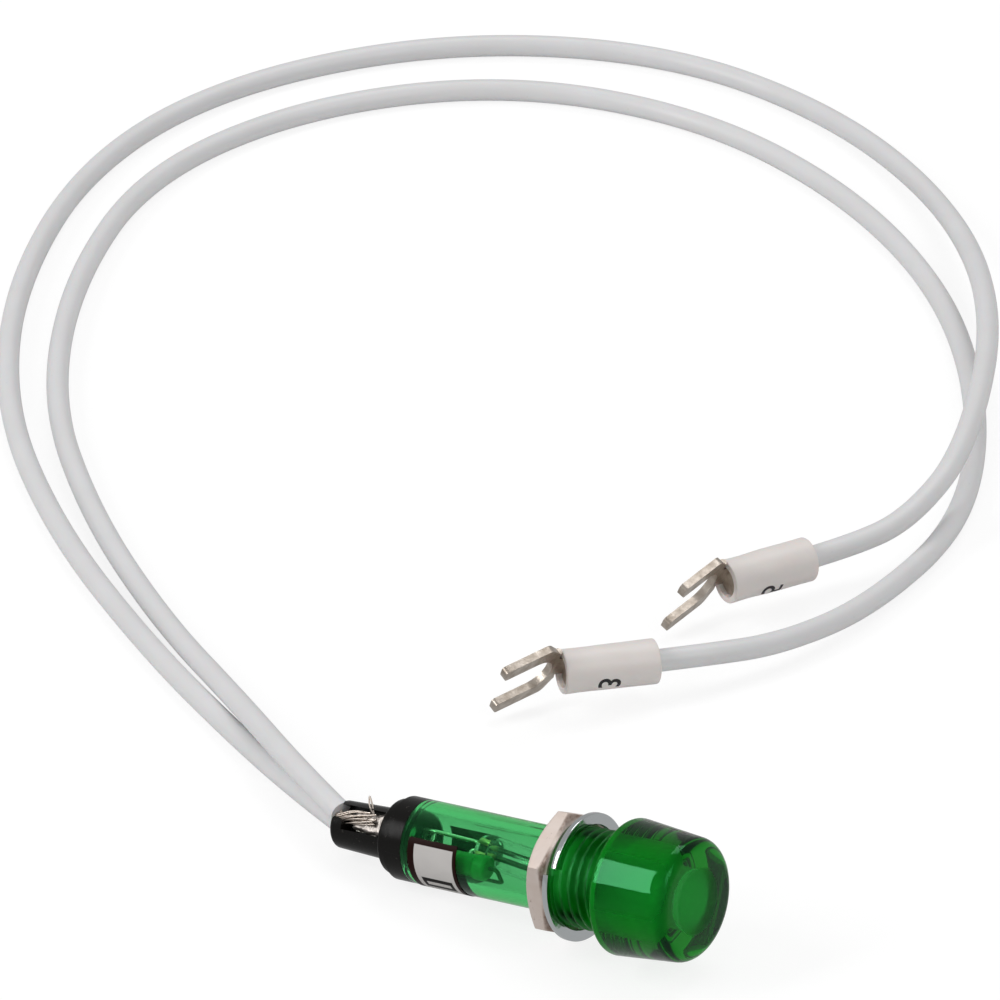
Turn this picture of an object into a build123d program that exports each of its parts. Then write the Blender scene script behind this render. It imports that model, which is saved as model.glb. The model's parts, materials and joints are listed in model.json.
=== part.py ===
"""Neon panel pilot light, 10 mm, with two wire leads that end in fork terminals.

The light is built along its own axis: X points forward out of the panel, and X = 0 is the
back face of the head, which seats on the front of the panel. It is then tipped nose up on to
the table, where it rests on one corner of the hex nut and on the rim of the rear plug. The
wires lie on the table from there, and their routes are given where they lie.
"""
from build123d import *
import math
import os

os.makedirs("parts", exist_ok=True)

# Green moulding: head, thread and tube
head_length = 8.14
head_rear_radius = 6.78
head_front_radius = 6.06
head_rear_rounding = 0.35
head_front_rounding = 1.24
face_thickness = 1.75
thread_radius = 5.0
thread_length = 8.3
thread_chamfer = 0.5
tube_radius = 4.15
tube_length = 15.9
bore_radius = 3.0
bore_end_rounding = 0.2

# Hex nut
nut_across_flats = 11.55
nut_thickness = 2.2
nut_rim_inset = 0.1
nut_chamfer_angle = 30
nut_thread_clearance = 0.05
nut_run_in = 0.3

# Split spring washer
washer_gap = 0.05
washer_thread_clearance = 0.2
washer_width = 1.15
washer_thickness = 0.6
washer_pitch = 0.75
washer_split_angle = 7
washer_split_place = 150

# Rear plug, its tail and the two channels in the tail
plug_roll = 48
spigot_length = 0.4
spigot_clearance = 0.05
flange_length = 2.0
step_radius = 3.75
step_length = 1.1
step_rounding = 0.3
tail_length = 6.8
tail_front_radius = 2.6
tail_rear_radius = 2.35
tail_rear_rounding = 0.5
web_thickness = 0.7
web_set_back = 1.6
channel_width = 2.6
channel_offset = 0.35
hump_length = 1.5
hump_height = 1.1
hump_rounding = 0.6
nib_size = 0.9
nib_radius = 3.0

# Solder lugs
lug_thickness = 0.35
lug_wide = 2.3
lug_narrow = 1.7
lug_set_back = 1.9
lug_neck_width = 1.6
lug_tab_length = 0.6
lug_hole_radius = 0.4
solder_step_gap = 1.0
solder_height = 0.7
solder_inset = 0.3
solder_rounding = 0.25

# Neon bulb and its electrodes
bulb_radius = 1.4
bulb_length = 10.0
bulb_wall = 0.25
bulb_rounding = 1.1
bulb_rear = -18.0
bulb_rear_shift = 0.75
bulb_tilt = 6
bulb_depth = -0.8
pinch_length = 1.6
electrode_radius = 0.28
electrode_length = 4.6
electrode_spread = 0.42
lead_radius = 0.2
lead_bend = 0.4
lead_clearance = 0.01

# Ballast resistor
resistor_radius = 1.15
resistor_length = 6.2
resistor_waist = 0.12
resistor_cap_length = 1.3
resistor_rounding = 0.35
resistor_front = -15.0
resistor_shift = -1.35
resistor_depth = 1.05
lead_loop = 0.9

# Wrapped label
label_thickness = 0.06
label_front = -17.5
label_width = 5.75
label_start_angle = 145
label_wrap_angle = 225

# Wires and their bare ends
wire_radius = 1.15
strand_radius = 0.42
strand_bend = 1.0
strand_exit = 0.5
strand_exit_bend = 0.35
bend_share = 0.45
sleeve_exit_run = 5.0

# Marker sleeves
sleeve_radius = 2.25
sleeve_length = 9.8
sleeve_clearance = 0.05

# Crimped fork terminals
barrel_radius = 1.5
barrel_wall = 0.5
barrel_length = 4.6
barrel_set_back = 0.5
tongue_thickness = 0.8
tongue_height = 1.05
tongue_start = 0.45
tongue_neck_width = 4.4
tongue_bend = 20
tongue_length = 6.9
fork_width = 7.2
fork_rounding = 0.4
shoulder_rounding = 1.0
slot_width = 4.3
slot_web = 0.6
shoulder_length = 1.1
terminal_roll = 62

# Places along the axis that follow from the sizes above
tube_rear = -thread_length - tube_length
flange_rear = tube_rear - flange_length
step_rear = flange_rear - step_length
tail_rear = step_rear - tail_length
nut_rear = nut_run_in - thread_length
nut_front = nut_rear + nut_thickness
nut_corner_radius = nut_across_flats / math.sqrt(3)
nut_rim_radius = nut_across_flats / 2 - nut_rim_inset
nut_drop = (nut_corner_radius - nut_rim_radius) * math.tan(math.radians(nut_chamfer_angle))
washer_rear = nut_front + washer_gap
web_top = web_thickness / 2
lug_top = web_top + lug_thickness
over_lug = lug_top + strand_radius
lug_rear = tail_rear + lug_set_back
solder_rear = lug_rear + solder_inset
solder_length = step_rear - solder_step_gap - solder_rear
lug_front = tube_rear + spigot_length + lug_tab_length
resistor_rear = resistor_front - resistor_length
slot_depth = tongue_length - slot_web

# The table touches a corner of the nut and the rear rim of the plug's flange
rest_tilt = math.degrees(math.atan2(
    nut_corner_radius - tube_radius, nut_rear + nut_drop - flange_rear))


def turned(points, radii=None):
    """Solid of revolution about X from a closed outline of (x, radius) points."""
    outline = FilletPolyline(*points, radius=radii or [0] * len(points), close=True)
    return revolve(make_face(outline), Axis.X)


def rod(start, end, radius):
    """Straight round bar between two points."""
    along = Vector(*end) - Vector(*start)
    return extrude(Plane(origin=start, z_dir=along) * Circle(radius), along.length)


def bent_wire(points, radius, bends):
    """Round wire of straight runs joined by tangent arcs."""
    path = FilletPolyline(*points, radius=bends)
    section = Plane(origin=path @ 0, z_dir=path % 0) * Circle(radius)
    return sweep(section, path=path)


def lens_body():
    outline = [
        (tube_rear, bore_radius), (tube_rear, tube_radius), (-thread_length, tube_radius),
        (-thread_length + thread_chamfer, thread_radius), (0, thread_radius),
        (0, head_rear_radius), (head_length, head_front_radius), (head_length, 0),
        (head_length - face_thickness, 0), (head_length - face_thickness, bore_radius),
    ]
    radii = [0, 0, 0, 0, 0, head_rear_rounding, head_front_rounding, 0, 0, bore_end_rounding]
    return turned(outline, radii)


def hex_nut():
    """Thin nut, chamfered on both faces, with one corner straight down."""
    blank = extrude(
        Plane(origin=(nut_rear, 0, 0), x_dir=(0, 0, -1), z_dir=(1, 0, 0))
        * RegularPolygon(nut_corner_radius, 6), nut_thickness)
    envelope = turned([
        (nut_rear, 0), (nut_rear, nut_rim_radius), (nut_rear + nut_drop, nut_corner_radius),
        (nut_front - nut_drop, nut_corner_radius), (nut_front, nut_rim_radius), (nut_front, 0)])
    hole_radius = thread_radius + nut_thread_clearance
    hole = rod((nut_rear - 1, 0, 0), (nut_front + 1, 0, 0), hole_radius)
    return (blank & envelope) - hole


def lock_washer():
    """One turn of flat bar whose two ends spring apart by the pitch."""
    middle = thread_radius + washer_thread_clearance + washer_width / 2
    turn = (360 - washer_split_angle) / 360
    coil = Helix(washer_pitch, washer_pitch * turn, middle)
    bar = Plane(origin=coil @ 0, x_dir=(1, 0, 0), z_dir=coil % 0) * Rectangle(
        washer_width, washer_thickness)
    ring = sweep(bar, path=coil, is_frenet=True)
    upright = Location((washer_rear + washer_thickness / 2, 0, 0), (0, 90, 0))
    split_turn = washer_split_place + washer_split_angle / 2 - 270
    return Rot(split_turn, 0, 0) * upright * ring


def other_side(solid):
    """Half a turn about the axis, to the channel on the far side of the web."""
    return Rot(180, 0, 0) * solid


def strip(start, stop, start_width, stop_width):
    """Tapered strip of lug plate along X, on the top face of the web."""
    half_start, half_stop = start_width / 2, stop_width / 2
    outline = Polyline(
        (start, channel_offset - half_start), (stop, channel_offset - half_stop),
        (stop, channel_offset + half_stop), (start, channel_offset + half_start), close=True)
    return extrude(Plane.XY.offset(web_top) * make_face(outline), lug_thickness)


def solder_lug():
    tail = strip(lug_rear, step_rear, lug_narrow, lug_wide)
    tail = fillet(tail.edges().filter_by(Axis.Z).group_by(Axis.X)[0], lug_narrow / 3)
    neck = strip(step_rear, lug_front, lug_neck_width, lug_neck_width)
    seat = Pos(lug_front, channel_offset, web_top)
    low = (Align.CENTER, Align.CENTER, Align.MIN)
    tab_end = seat * Cylinder(lug_neck_width / 2, lug_thickness, align=low)
    hole = seat * Cylinder(lug_hole_radius, lug_thickness, align=low)
    return tail + neck + tab_end - hole


def rear_plug():
    barrel = turned([
        (tail_rear, 0), (tail_rear, tail_rear_radius), (step_rear, tail_front_radius),
        (step_rear, step_radius), (flange_rear, step_radius), (flange_rear, tube_radius),
        (tube_rear, tube_radius), (tube_rear, bore_radius - spigot_clearance),
        (tube_rear + spigot_length, bore_radius - spigot_clearance),
        (tube_rear + spigot_length, 0)],
        [0, tail_rear_rounding, 0, step_rounding, 0, 0, 0, 0, 0, 0])
    wall_side = channel_offset - channel_width / 2
    floor = Pos(tail_rear + tail_length / 2, channel_offset) * Rectangle(
        tail_length, channel_width)
    hump = Pos(tail_rear + hump_length / 2, wall_side) * RectangleRounded(
        hump_length, 2 * hump_height, hump_rounding)
    channel = extrude(Plane.XY.offset(web_top) * (floor - hump), tail_front_radius)
    gap_width = channel_width - 2 * channel_offset
    gap = Pos(tail_rear + web_set_back / 2, 0) * Rectangle(web_set_back, gap_width)
    web_end = extrude(gap - hump - Rot(180, 0, 0) * hump, web_thickness, both=True)
    neck_slot = strip(step_rear, lug_front, lug_neck_width, lug_neck_width)
    nib = Pos(step_rear - nib_size / 2, -nib_radius, 0) * Box(nib_size, nib_size, nib_size)
    cuts = [channel, other_side(channel), web_end, neck_slot, other_side(neck_slot)]
    for cut in cuts:
        barrel -= cut
    return barrel + nib


def solder():
    """Low mound of solder over the lug's top face."""
    mound = strip(solder_rear, solder_rear + solder_length,
                  lug_narrow - solder_inset, lug_wide - solder_inset)
    mound = extrude(mound.faces().sort_by(Axis.Z)[-1], solder_height - lug_thickness) + mound
    mound = Pos(0, 0, lug_thickness) * mound
    return fillet(mound.faces().sort_by(Axis.Z)[-1].edges(), solder_rounding)


def bulb_place():
    """Frame of the bulb: X forward from its rear end, Y across its two leads."""
    return Location((bulb_rear, bulb_rear_shift, bulb_depth), (0, 0, -bulb_tilt))


def bulb_glass():
    outer = turned([(0, 0), (0, bulb_radius), (bulb_length, bulb_radius), (bulb_length, 0)],
                   [0, bulb_rounding, bulb_rounding, 0])
    inner_radius = bulb_radius - bulb_wall
    inner_rounding = bulb_rounding - bulb_wall
    inner_front = bulb_length - bulb_wall
    hollow = turned([(pinch_length, 0), (pinch_length, inner_radius),
                     (inner_front, inner_radius), (inner_front, 0)],
                    [0, inner_rounding / 2, inner_rounding, 0])
    glass = outer - hollow
    for side in (1, -1):
        spread = side * electrode_spread
        glass -= rod((0, spread, 0), (pinch_length, spread, 0), lead_radius + lead_clearance)
    return bulb_place() * glass


def in_bulb(x, y):
    """Point of the bulb's frame, in the plug's frame."""
    return bulb_place() * Pos(x, y, 0)


def electrode(side, route):
    """Rod inside the bulb, welded to the lead that comes in through the glass."""
    spread = side * electrode_spread
    bar = rod((pinch_length, spread, 0), (pinch_length + electrode_length, spread, 0),
              electrode_radius)
    ends = [in_bulb(-lead_bend - 0.4, spread).position, in_bulb(pinch_length, spread).position]
    return bulb_place() * bar + bent_wire(route + ends, lead_radius, lead_bend)


def resistor_body():
    waist = resistor_radius - resistor_waist
    rear_cap, front_cap = resistor_rear + resistor_cap_length, resistor_front - resistor_cap_length
    slope = resistor_waist * 3
    body = turned([
        (resistor_rear, 0), (resistor_rear, resistor_radius), (rear_cap, resistor_radius),
        (rear_cap + slope, waist), (front_cap - slope, waist), (front_cap, resistor_radius),
        (resistor_front, resistor_radius), (resistor_front, 0)],
        [0, resistor_rounding, 0, 0, 0, 0, resistor_rounding, 0])
    return Pos(0, resistor_shift, resistor_depth) * body


def rating_label():
    band = Polyline(
        (label_front - label_width, tube_radius), (label_front, tube_radius),
        (label_front, tube_radius + label_thickness),
        (label_front - label_width, tube_radius + label_thickness), close=True)
    wrap = revolve(make_face(band), Axis.X, label_wrap_angle)
    return Rot(label_start_angle, 0, 0) * wrap


# Leads inside the tube, in the plug's frame
lead_rest = lug_top + lead_radius + lead_clearance
UPPER_LEAD = [(tube_rear + spigot_length + 0.1, channel_offset + 0.6, lead_rest),
              (lug_front + 0.9, channel_offset + 0.65, lead_rest)]
join_x, join_y, join_z = -20.4, -0.75, -0.6
join_length = 1.5
LOWER_LEAD = [(join_x, join_y, join_z), (join_x + join_length, join_y, join_z)]
beside = join_y - 2 * lead_radius - lead_clearance
loop_x = resistor_front + lead_loop
loop_y = resistor_shift - 0.95
FRONT_LEAD = [(resistor_front, resistor_shift, resistor_depth),
              (loop_x, resistor_shift, resistor_depth), (loop_x, loop_y, join_z),
              (join_x + join_length + 0.8, loop_y, join_z),
              (join_x + join_length, beside, join_z), (join_x, beside, join_z)]
REAR_LEAD = [(resistor_rear, resistor_shift, resistor_depth),
             (resistor_rear - 1.0, resistor_shift, resistor_depth),
             (lug_front - 0.1, -channel_offset - 1.15, -lead_rest),
             (tube_rear + spigot_length + 0.1, -channel_offset - 0.6, -lead_rest)]

plug_frame = Rot(plug_roll, 0, 0)
LAMP = {
    "lens_body": lens_body(),
    "hex_nut": hex_nut(),
    "lock_washer": lock_washer(),
    "rear_plug": plug_frame * rear_plug(),
    "solder_lug_upper": plug_frame * solder_lug(),
    "solder_lug_lower": plug_frame * other_side(solder_lug()),
    "bulb_glass": plug_frame * bulb_glass(),
    "electrode_upper": plug_frame * electrode(1, UPPER_LEAD),
    "electrode_lower": plug_frame * electrode(-1, LOWER_LEAD),
    "resistor_body": plug_frame * resistor_body(),
    "resistor_front_lead": plug_frame * bent_wire(FRONT_LEAD, lead_radius, lead_bend),
    "resistor_rear_lead": plug_frame * bent_wire(REAR_LEAD, lead_radius, lead_bend),
    "rating_label": rating_label(),
}

# The lamp lies on the table with the middle of its length and width at the origin
tip = Rot(0, -rest_tilt, 0)
lying = Compound(children=[tip * solid for solid in LAMP.values()]).bounding_box()
lamp_place = Pos(-lying.center().X, -lying.center().Y, -lying.min.Z) * tip
plug_place = lamp_place * plug_frame
PARTS = {name: lamp_place * solid for name, solid in LAMP.items()}


def on_plug(x, y, z):
    """Point given in the plug's frame, where it lies on the table."""
    return (plug_place * Pos(x, y, z)).position


# The wires' routes from the lamp to the terminals, and each sleeve's back and front
OUTER_SLEEVE = [Vector(-11.9, 67.27, 4.2), Vector(-15.72, 58.19, 4.55)]
INNER_SLEEVE = [Vector(-13.1, 42.06, 4.0), Vector(-19.08, 34.18, 4.5)]
OUTER_ROUTE = [
    on_plug(tail_rear - 1.0, 0.25, -1.6), (-28.2, 4.0, 1.7), (-40.5, 9.9, 1.2),
    (-58.5, 19.2, 1.15), (-80.0, 32.8, 1.15), (-99.5, 50.0, 1.15), (-114.5, 72.0, 1.15),
    (-124.0, 98.0, 1.15), (-122.3, 121.0, 1.15), (-109.0, 142.0, 1.15), (-88.0, 153.5, 1.15),
    (-65.0, 152.0, 1.15), (-42.5, 140.0, 2.2), (-22.0, 117.0, 6.6), (-9.0, 92.0, 6.6),
    (-7.6, 79.5, 4.6)]
INNER_ROUTE = [
    on_plug(tail_rear - 1.05, 2.05, 1.0), (-30.2, 6.4, 4.8), (-42.5, 14.8, 2.9),
    (-60.0, 24.8, 1.3), (-79.0, 37.5, 1.15), (-96.5, 54.0, 1.15), (-110.0, 76.0, 1.15),
    (-117.5, 99.5, 1.15), (-112.5, 121.5, 1.15), (-98.0, 138.0, 1.15), (-77.0, 143.5, 1.15),
    (-54.5, 138.3, 1.15), (-34.0, 125.8, 1.15), (-17.5, 107.5, 1.15), (-6.0, 87.0, 1.15),
    (-4.2, 67.5, 1.3), (-6.2, 54.5, 2.4)]
UPPER_LUG_STRANDS = [(tail_rear - 0.05, 1.0, over_lug + 0.2), (lug_rear + 0.5, 0.55, over_lug),
                     (lug_rear + solder_length - 0.4, 0.3, over_lug)]
LOWER_LUG_STRANDS = [(tail_rear - 0.05, -0.65, -over_lug - 0.2), (lug_rear + 0.5, -0.6, -over_lug),
                     (lug_rear + solder_length - 0.4, -0.3, -over_lug)]


def corner_radii(points):
    """Radius of each arc of a wire: as large as the two runs at its point allow."""
    radii = []
    for before, point, after in zip(points, points[1:], points[2:]):
        run_in, run_out = point - before, after - point
        half_turn = math.radians(run_in.get_angle(run_out)) / 2
        radii.append(bend_share * min(run_in.length, run_out.length) / math.tan(half_turn))
    return radii


def wire(route):
    radii = corner_radii(route)
    path = FilletPolyline(*route, radius=radii)
    section = Plane(origin=path @ 0, z_dir=path % 0) * Circle(wire_radius)
    tube = sweep(section, path=path)
    expected = math.pi * wire_radius ** 2 * path.length
    print("wire", round(path.length, 1), "mm long, volume over section times length",
          round(tube.volume / expected, 5), "bend radii", [round(radius, 1) for radius in radii])
    return tube


def bare_end(route, on_lug):
    """Strands that leave the wire's end face straight on and bend over on to the lug."""
    start, inward = route[0], (route[0] - route[1]).normalized()
    path = [start, start + inward * strand_exit] + [on_plug(*point) for point in on_lug]
    bends = [strand_exit_bend] * (len(path) - 3) + [strand_bend]
    return bent_wire(path, strand_radius, bends)


def tongue():
    """Flat fork ahead of the barrel, with rounded shoulders and an open, round-bottomed slot."""
    half_neck, half_fork = tongue_neck_width / 2, fork_width / 2
    sides = [(0, half_neck), (shoulder_length, half_fork), (tongue_length, half_fork)]
    mirrored = [(x, -y) for x, y in reversed(sides)]
    blank = make_face(Polyline(*sides, *mirrored, close=True))
    slot = Pos(tongue_length, 0) * SlotCenterToCenter(2 * slot_depth - slot_width, slot_width)
    outline = blank - slot
    outline = fillet(outline.vertices().group_by(Axis.X)[-1], fork_rounding)
    shoulders = [v for v in outline.vertices() if abs(v.X - shoulder_length) < 0.01]
    outline = fillet(shoulders, shoulder_rounding)
    return extrude(outline, tongue_thickness / 2, both=True)


def fork_terminal():
    """Crimped terminal in its own frame: X forward to the prongs, X = 0 at the sleeve's mouth."""
    barrel_front = -barrel_set_back
    barrel_rear = barrel_front - barrel_length
    barrel = rod((barrel_rear, 0, 0), (barrel_front, 0, 0), barrel_radius) - rod(
        (barrel_rear, 0, 0), (barrel_front, 0, 0), barrel_radius - barrel_wall)
    bar = Pos((barrel_front + tongue_start) / 2, 0, tongue_height) * Box(
        tongue_start - barrel_front, 2 * barrel_radius, tongue_thickness)
    neck = rod((barrel_front, 0, 0), (tongue_start, 0, 0), barrel_radius) & bar
    fold = rod((tongue_start, -tongue_neck_width / 2, tongue_height),
               (tongue_start, tongue_neck_width / 2, tongue_height), tongue_thickness / 2)
    blade = Pos(tongue_start, 0, tongue_height) * Rot(0, tongue_bend, 0) * tongue()
    return barrel + neck + fold + blade


def crimped_end():
    return rod((-barrel_set_back - barrel_length, 0, 0), (-barrel_set_back, 0, 0),
               barrel_radius - barrel_wall)


def marker_sleeve():
    start, stop = (-sleeve_length, 0, 0), (0, 0, 0)
    return rod(start, stop, sleeve_radius) - rod(start, stop, barrel_radius + sleeve_clearance)


def sleeve_place(back, front):
    """Frame of a terminal at its sleeve's mouth, rolled on to one prong."""
    forward = (front - back).normalized()
    level = Vector(0, 0, 1).cross(forward).normalized()
    face = level.cross(forward) * -1
    roll = math.radians(terminal_roll)
    normal = level * -math.sin(roll) + face * math.cos(roll)
    return Plane(origin=back + forward * sleeve_length, x_dir=forward, z_dir=normal).location


def finish_wire(name, route, sleeve, on_lug):
    """One wire with its bare end, its marker sleeve and its crimped terminal."""
    back, front = sleeve
    forward = (front - back).normalized()
    place = sleeve_place(back, front)
    wire_end = (place * Pos(-barrel_set_back - barrel_length, 0, 0)).position
    route = [Vector(*point) for point in route] + [back - forward * sleeve_exit_run, wire_end]
    PARTS["wire_" + name] = wire(route)
    PARTS["bare_end_" + name] = bare_end(route, on_lug)
    PARTS["marker_sleeve_" + name] = place * marker_sleeve()
    PARTS["fork_terminal_" + name] = place * fork_terminal()
    PARTS["crimped_end_" + name] = place * crimped_end()


finish_wire("outer", OUTER_ROUTE, OUTER_SLEEVE, LOWER_LUG_STRANDS)
finish_wire("inner", INNER_ROUTE, INNER_SLEEVE, UPPER_LUG_STRANDS)
PARTS["solder_upper"] = plug_place * solder() - PARTS["bare_end_inner"]
PARTS["solder_lower"] = plug_place * other_side(solder()) - PARTS["bare_end_outer"]

for name, solid in PARTS.items():
    export_step(solid, "parts/" + name + ".step")
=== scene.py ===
# %% [markdown]
# # A green panel pilot light with two wire leads
#
# The light is one clear green moulding: a lens head, a threaded barrel and a thin tube. A neon
# bulb and its resistor show through the tube. A nut and a split washer clamp the light to a
# panel. Two white wires leave the black plug behind and end in fork terminals.
#
# The solid model is loaded first and says where everything is. Every piece below either gives
# a solid a better surface or stands in for it with a finer mesh in the same place.

# %% Load the solid model
import json
import math
import random

import bmesh
import bpy
from mathutils import Matrix, Vector, noise


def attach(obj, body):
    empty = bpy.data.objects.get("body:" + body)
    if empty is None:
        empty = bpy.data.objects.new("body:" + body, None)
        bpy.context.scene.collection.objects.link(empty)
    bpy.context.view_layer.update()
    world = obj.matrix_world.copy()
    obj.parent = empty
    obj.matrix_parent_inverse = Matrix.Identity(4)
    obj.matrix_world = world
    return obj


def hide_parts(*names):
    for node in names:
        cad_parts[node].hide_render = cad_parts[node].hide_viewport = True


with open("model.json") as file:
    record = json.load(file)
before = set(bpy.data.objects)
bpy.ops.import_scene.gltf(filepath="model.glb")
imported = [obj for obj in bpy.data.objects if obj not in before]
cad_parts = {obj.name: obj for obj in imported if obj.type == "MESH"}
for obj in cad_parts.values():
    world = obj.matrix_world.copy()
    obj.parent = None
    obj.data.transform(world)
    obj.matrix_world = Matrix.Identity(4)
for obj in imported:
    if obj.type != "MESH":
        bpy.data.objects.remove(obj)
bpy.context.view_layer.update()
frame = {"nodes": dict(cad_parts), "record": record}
solids = frame["nodes"]

# %% [markdown]
# ## Two frames to build in
#
# The lamp lies nose up on the table, so its pieces are easiest to model along its own axis, in
# millimetres, and then placed with one matrix. X = 0 is the back of the head, where the lamp
# seats on its panel. The plug behind is turned a little about the same axis, and has a matrix
# of its own, so that its two channels are flat in it.

# %% Frames of the lamp and of its plug
MM = 0.001
mounts = {mount["name"]: mount for mount in frame["record"]["mounts"]}
seat = Vector(mounts["head_seat"]["pos_m"])
seat.y = 0
axis = -Vector(mounts["head_seat"]["axis"])
tilt = math.atan2(axis.z, axis.x)
lamp = Matrix.Translation(seat) @ Matrix.Rotation(-tilt, 4, "Y") @ Matrix.Scale(MM, 4)
plug_roll = math.radians(48)
plug = lamp @ Matrix.Rotation(plug_roll, 4, "X")
print("the lamp lies", round(math.degrees(tilt), 2), "degrees nose up")

# %% [markdown]
# ## Materials as written sums
#
# A varying surface is a sum of patterns. Written as wires between Math nodes it is hard to
# read, so a small class wraps the output of a node, and + - * on it add the Math nodes. The
# reflected forms let a plain number stand on the left, as in 1 - mask. One method makes every
# other node from its type, its settings and its inputs.

# %% Values, node trees and recipes
class Value:
    """The output of a node. Arithmetic on it adds Math nodes to its tree."""

    def __init__(self, nodes, socket):
        self.nodes = nodes
        self.socket = socket

    def maths(self, operation, *values):
        return self.nodes.node("ShaderNodeMath", {"operation": operation}, dict(enumerate(values)))

    def __add__(self, other):
        return self.maths("ADD", self, other)

    def __sub__(self, other):
        return self.maths("SUBTRACT", self, other)

    def __mul__(self, other):
        return self.maths("MULTIPLY", self, other)

    def __pow__(self, other):
        return self.maths("POWER", self, other)

    def __gt__(self, other):
        return self.maths("GREATER_THAN", self, other)

    def __rsub__(self, other):
        return self.maths("SUBTRACT", other, self)

    __radd__ = __add__
    __rmul__ = __mul__

    def beside(self, output):
        """Another output of the same node."""
        return Value(self.nodes, self.socket.node.outputs[output])

    def clipped(self):
        """The value held between 0 and 1."""
        held = {"operation": "ADD", "use_clamp": True}
        return self.nodes.node("ShaderNodeMath", held, {0: self, 1: 0})

    def span(self, low, high):
        """0 below low, 1 above high, and a straight ramp between them."""
        return ((self - low) * (1 / (high - low))).clipped()

    def within(self, low, high, edge):
        """1 between low and high and 0 outside, with a ramp as wide as edge at each."""
        half = edge / 2
        return self.span(low - half, low + half) * (1 - self.span(high - half, high + half))


class Nodes:
    """A node tree to write patterns in."""

    def __init__(self, tree):
        self.tree = tree

    def node(self, kind, settings=None, inputs=None, output=0):
        """A new node. Its settings come first, then its inputs, by name or by number."""
        made = self.tree.nodes.new(kind)
        for name, setting in (settings or {}).items():
            setattr(made, name, setting)
        for name, value in (inputs or {}).items():
            self.feed(made.inputs[name], value)
        return Value(self, made.outputs[output])

    def feed(self, socket, value):
        """Link a value to a socket, or set the socket to a number, a vector or a colour."""
        if isinstance(value, Value):
            self.tree.links.new(value.socket, socket)
        else:
            socket.default_value = value


class Recipe(Nodes):
    """One material: a Principled shader and the patterns that feed it."""

    def __init__(self, name, **shader):
        self.material = bpy.data.materials.new(name)
        self.material.use_nodes = True
        super().__init__(self.material.node_tree)
        self.shader = self.tree.nodes["Principled BSDF"]
        self.output = self.tree.nodes["Material Output"]
        self.set(**shader)

    def colour(self, value):
        """A colour of three numbers gets its alpha. Anything else stays as it is."""
        return (*value, 1) if isinstance(value, tuple) else value

    def set(self, **shader):
        """Set or link the shader's inputs by their Blender names in small letters."""
        for name, value in shader.items():
            label = name.replace("_", " ").title().replace("Ior", "IOR")
            self.feed(self.shader.inputs[label], self.colour(value))

    def place(self):
        """Place in the scene's frame, in metres, since every object sits at the origin."""
        return self.node("ShaderNodeTexCoord", output="Object")

    def on_lamp(self):
        """Place along the lamp and distance from its axis, both in millimetres."""
        turned_back = {"Vector": self.place(), "Location": seat, "Rotation": (0, -tilt, 0),
                       "Scale": (MM, MM, MM)}
        own = self.node("ShaderNodeMapping", {"vector_type": "TEXTURE"}, turned_back)
        x = self.node("ShaderNodeSeparateXYZ", None, {"Vector": own}, "X")
        y, z = x.beside("Y"), x.beside("Z")
        return x, (y * y + z * z) ** 0.5

    def noise(self, size_mm, detail=3, roughness=0.5, stretch=(1, 1, 1)):
        """Cloudy pattern whose patches are about size_mm across."""
        at = self.node("ShaderNodeMapping", None, {"Vector": self.place(), "Scale": stretch})
        inputs = {"Vector": at, "Scale": 1 / (size_mm * MM), "Detail": detail,
                  "Roughness": roughness}
        return self.node("ShaderNodeTexNoise", None, inputs, "Fac")

    def mix(self, amount, first, second):
        """Blend of two colours: the first where the amount is 0, the second where it is 1."""
        factor, colour_a, colour_b, colour_out = 0, 6, 7, 2
        inputs = {factor: amount, colour_a: self.colour(first), colour_b: self.colour(second)}
        return self.node("ShaderNodeMix", {"data_type": "RGBA"}, inputs, colour_out)

    def bump(self, height, depth_mm, strength=1.0):
        """Relief from a height of 0 to 1 that stands for a depth in millimetres."""
        inputs = {"Height": height, "Distance": depth_mm * MM, "Strength": strength}
        self.set(normal=self.node("ShaderNodeBump", None, inputs))


# %% [markdown]
# ## Meshes by rings
#
# Most pieces here are turned, threaded or extruded along a line. All of them can be made as a
# stack of rings with faces between each ring and the next. The outline of a turned piece is
# drawn as a few corner points, and each corner gets the radius that the mould or the tool left.

# %% Rings and turned outlines
def rounded(corners, radii, steps=6):
    """Open outline with each corner replaced by an arc of its radius."""
    points = [Vector(corners[0])]
    for before, corner, after, radius in zip(corners, corners[1:], corners[2:], radii[1:]):
        corner, back, onward = Vector(corner), Vector(before), Vector(after)
        to_back, to_onward = (back - corner).normalized(), (onward - corner).normalized()
        half = to_back.angle(to_onward) / 2
        if radius <= 0 or half > math.radians(89):
            points.append(corner)
            continue
        reach = radius / math.tan(half)
        centre = corner + (to_back + to_onward).normalized() * (radius / math.sin(half))
        start, stop = corner + to_back * reach - centre, corner + to_onward * reach - centre
        for step in range(steps + 1):
            direction = start.normalized().slerp(stop.normalized(), step / steps)
            points.append(centre + direction * radius)
    points.append(Vector(corners[-1]))
    return [(point.x, point.y) for point in points]


def finely(outline, start, stop, step):
    """The outline with more points wherever x lies between start and stop.

    Long faces next to a rounded edge need them too, or the smooth shading of the edge would
    spread over their whole length.
    """
    points = [outline[0]]
    for first, second in zip(outline, outline[1:]):
        middle = (first[0] + second[0]) / 2
        count = 1
        if start <= middle <= stop:
            count = max(1, round(abs(second[0] - first[0]) / step))
        for index in range(1, count + 1):
            share = index / count
            points.append(tuple(a + (b - a) * share for a, b in zip(first, second)))
    return points


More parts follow.
